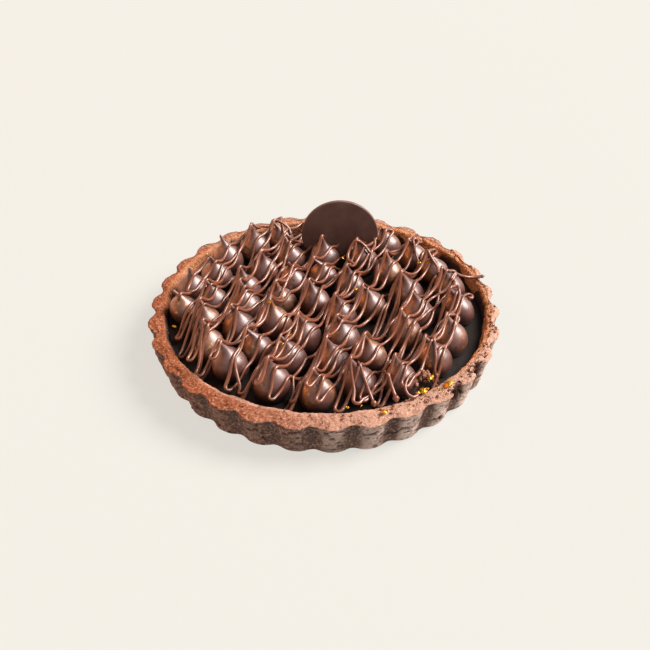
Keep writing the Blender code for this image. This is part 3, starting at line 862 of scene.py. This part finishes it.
def add_crumbs(finish):
    """Loose crumbs on the rim, most of them at the front right, and one clump that fell off."""
    rng = np.random.default_rng(31)
    count = 150
    turn = np.radians(rng.normal(-38.0, 42.0, count))
    ones = np.ones(count)
    share = rng.uniform(0.0, 0.9, count)[:, None]
    flat = inside(turn, ones, 1.2) * (1.0 - share) + outside(turn, ones, 0.8) * share
    place = np.concatenate([flat, rim_top(turn)[:, None] + 0.1], -1)
    clump = np.array([32.3, -36.2, 14.0]) + rng.normal(0.0, 1.0, (46, 3)) * np.array([1.1, 1.0, 0.75])
    places = np.concatenate([place, clump])
    sizes = np.concatenate([rng.uniform(0.16, 0.42, count), rng.uniform(0.45, 0.95, 46)])
    add_specks("crumbs", finish, places, sizes, 0.85, 32)


# Flakes of gold leaf: the middle of each and its half width
GOLD_FLAKES = (
    (39.6, -39.7, 14.0, 1.35), (40.6, -38.9, 14.2, 0.8), (31.3, -42.6, 13.9, 1.3), (32.6, -41.8, 14.0, 0.9),
    (30.1, -43.2, 13.8, 0.8), (33.6, -37.4, 14.9, 1.2), (34.6, -36.9, 15.0, 0.7), (18.6, -52.6, 13.9, 0.95),
    (19.4, -52.2, 13.9, 0.6), (37.7, -43.1, 13.9, 0.5), (36.2, -41.4, 13.9, 0.45), (7.0, -50.0, 13.6, 0.55),
    (11.5, -49.4, 13.6, 0.5), (-22.4, 2.6, 15.0, 0.9), (-51.2, -6.0, 12.2, 0.6), (-51.0, 8.0, 12.0, 0.5),
    (-21.0, -9.8, 17.0, 0.9), (-11.4, -17.2, 16.6, 0.9), (-18.4, -7.6, 23.3, 0.6), (33.4, 15.9, 22.2, 0.7),
    (20.3, -13.6, 13.5, 0.8), (9.3, -4.2, 16.2, 0.9), (7.1, 30.2, 14.3, 0.8), (19.5, -36.2, 16.7, 0.8),
    (27.3, 0.9, 15.2, 0.8), (10.9, 8.6, 16.3, 0.7), (-13.7, -27.0, 21.2, 0.5), (-22.0, -9.0, 15.4, 0.6),
)


def add_gold(finish):
    """Flakes of leaf where they fell."""
    flakes = np.array(GOLD_FLAKES)
    add_specks("gold_flakes", finish, flakes[:, :3], flakes[:, 3], 0.16, 41)


# ---------------------------------------------------------------- disc, filling

def add_disc(finish):
    """The standing disc: rings about its own axis, flat faces with an edge rounded by a quarter
    circle on each side."""
    turn = np.linspace(0.0, FULL, 160, endpoint=False)
    edge = 0.4
    half = 0.5 * DISC_THICKNESS
    bow = np.linspace(0.0, math.pi / 2, 6)
    flat_radii = np.linspace(0.6, DISC_RADIUS - edge, 22)
    radii = np.concatenate([flat_radii, DISC_RADIUS - edge + edge * np.sin(bow[1:]),
                            DISC_RADIUS - edge + edge * np.cos(bow[1:]), flat_radii[-2::-1]])
    depth = np.concatenate([np.full(22, half), half - edge + edge * np.cos(bow[1:]),
                            -half + edge - edge * np.sin(bow[1:]), np.full(21, -half)])
    ring = np.stack([radii[:, None] * np.cos(turn), radii[:, None] * np.sin(turn),
                     np.broadcast_to(depth[:, None], (len(radii), len(turn)))], -1)
    upright = np.array(Matrix.Rotation(math.pi / 2 - DISC_LEAN, 3, "X"))
    poles = np.array([[0.0, 0.0, half], [0.0, 0.0, -half]])
    flat = np.concatenate([ring.reshape(-1, 3), poles]) @ upright.T + DISC_CENTRE
    rows, columns = ring.shape[:2]
    faces = [grid_faces(rows, columns)[:, ::-1], fan_faces(np.arange(columns), rows * columns),
             fan_faces(np.arange(columns) + (rows - 1) * columns, rows * columns + 1, flip=True)]
    return add_piece("moulded_disc", flat, faces, finish, "disc")


# ---------------------------------------------------------------- stage

def add_floor():
    """A plain pale floor of paper, lit from below as well, so that shadows on it are weak."""
    finish, tree, shader = new_finish("floor_paper", Roughness=0.9, Emission_Strength=0.74)
    shader.inputs["Base Color"].default_value = (0.12, 0.127, 0.123, 1.0)
    shader.inputs["Emission Color"].default_value = (0.89, 0.865, 0.80, 1.0)
    half = 3000.0
    corners = np.array([[-half, -half, 0], [half, -half, 0], [half, half, 0], [-half, half, 0]])
    floor = add_piece("floor", corners, [np.array([[0, 1, 2, 3]])], finish, body=None)


def add_sun(name, azimuth, elevation, width, strength, colour):
    """A far, wide light. The azimuth is where it stands, in degrees from +X towards +Y; the
    width is the angle that it fills."""
    lamp = bpy.data.lights.new(name, "SUN")
    lamp.energy = strength
    lamp.angle = math.radians(width)
    lamp.color = linear(colour)[:3]
    holder = bpy.data.objects.new(name, lamp)
    bpy.context.scene.collection.objects.link(holder)
    a, e = math.radians(azimuth), math.radians(elevation)
    towards = Vector((math.cos(a) * math.cos(e), math.sin(a) * math.cos(e), math.sin(e)))
    holder.rotation_euler = towards.to_track_quat("Z", "Y").to_euler()


def add_lights():
    """A wide cool light from the right, a low warm one from the left and a weak one above."""
    add_sun("window", 15, 42, 36, 6.8, "fff5ef")
    add_sun("warm_wall", 165, 26, 60, 1.5, "ffa468")
    add_sun("room_front", -85, 40, 90, 0.4, "ffffff")
    world = bpy.data.worlds.new("room")
    bpy.context.scene.world = world
    world.use_nodes = True
    room = world.node_tree.nodes["Background"]
    room.inputs["Color"].default_value = (1.0, 0.97, 0.94, 1.0)
    room.inputs["Strength"].default_value = 0.12
    bpy.context.scene.view_settings.view_transform = "Standard"


def add_camera():
    """The camera stands in front and above, turned a little about its own axis."""
    lens = bpy.data.cameras.new("camera")
    lens.sensor_width = 36.0
    lens.lens = CAMERA_LENS
    lens.shift_x, lens.shift_y = CAMERA_SHIFT
    lens.clip_start, lens.clip_end = 0.01, 20.0
    back = Vector((0.0, -math.cos(CAMERA_ELEVATION), math.sin(CAMERA_ELEVATION)))
    place = Vector((0.0, 0.0, AIM_HEIGHT)) + back * CAMERA_DISTANCE
    holder = bpy.data.objects.new("camera", lens)
    bpy.context.scene.collection.objects.link(holder)
    turned = back.to_track_quat("Z", "Y").to_matrix().to_4x4() @ Matrix.Rotation(CAMERA_ROLL, 4, "Z")
    holder.matrix_world = Matrix.Translation(place * MM) @ turned
    bpy.context.scene.camera = holder


add_camera()
add_lights()
add_floor()
shortcrust = baked_cocoa_shortcrust()
add_crust(shortcrust)
add_crumbs(shortcrust)
add_gold(beaten_gold_leaf())
grids = add_dollops(piped_dark_chocolate())
add_threads(drizzled_milk_chocolate(), grids)
add_disc(moulded_dark_chocolate())
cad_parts["filling"].data.materials.clear()
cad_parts["filling"].data.materials.append(set_dark_ganache())
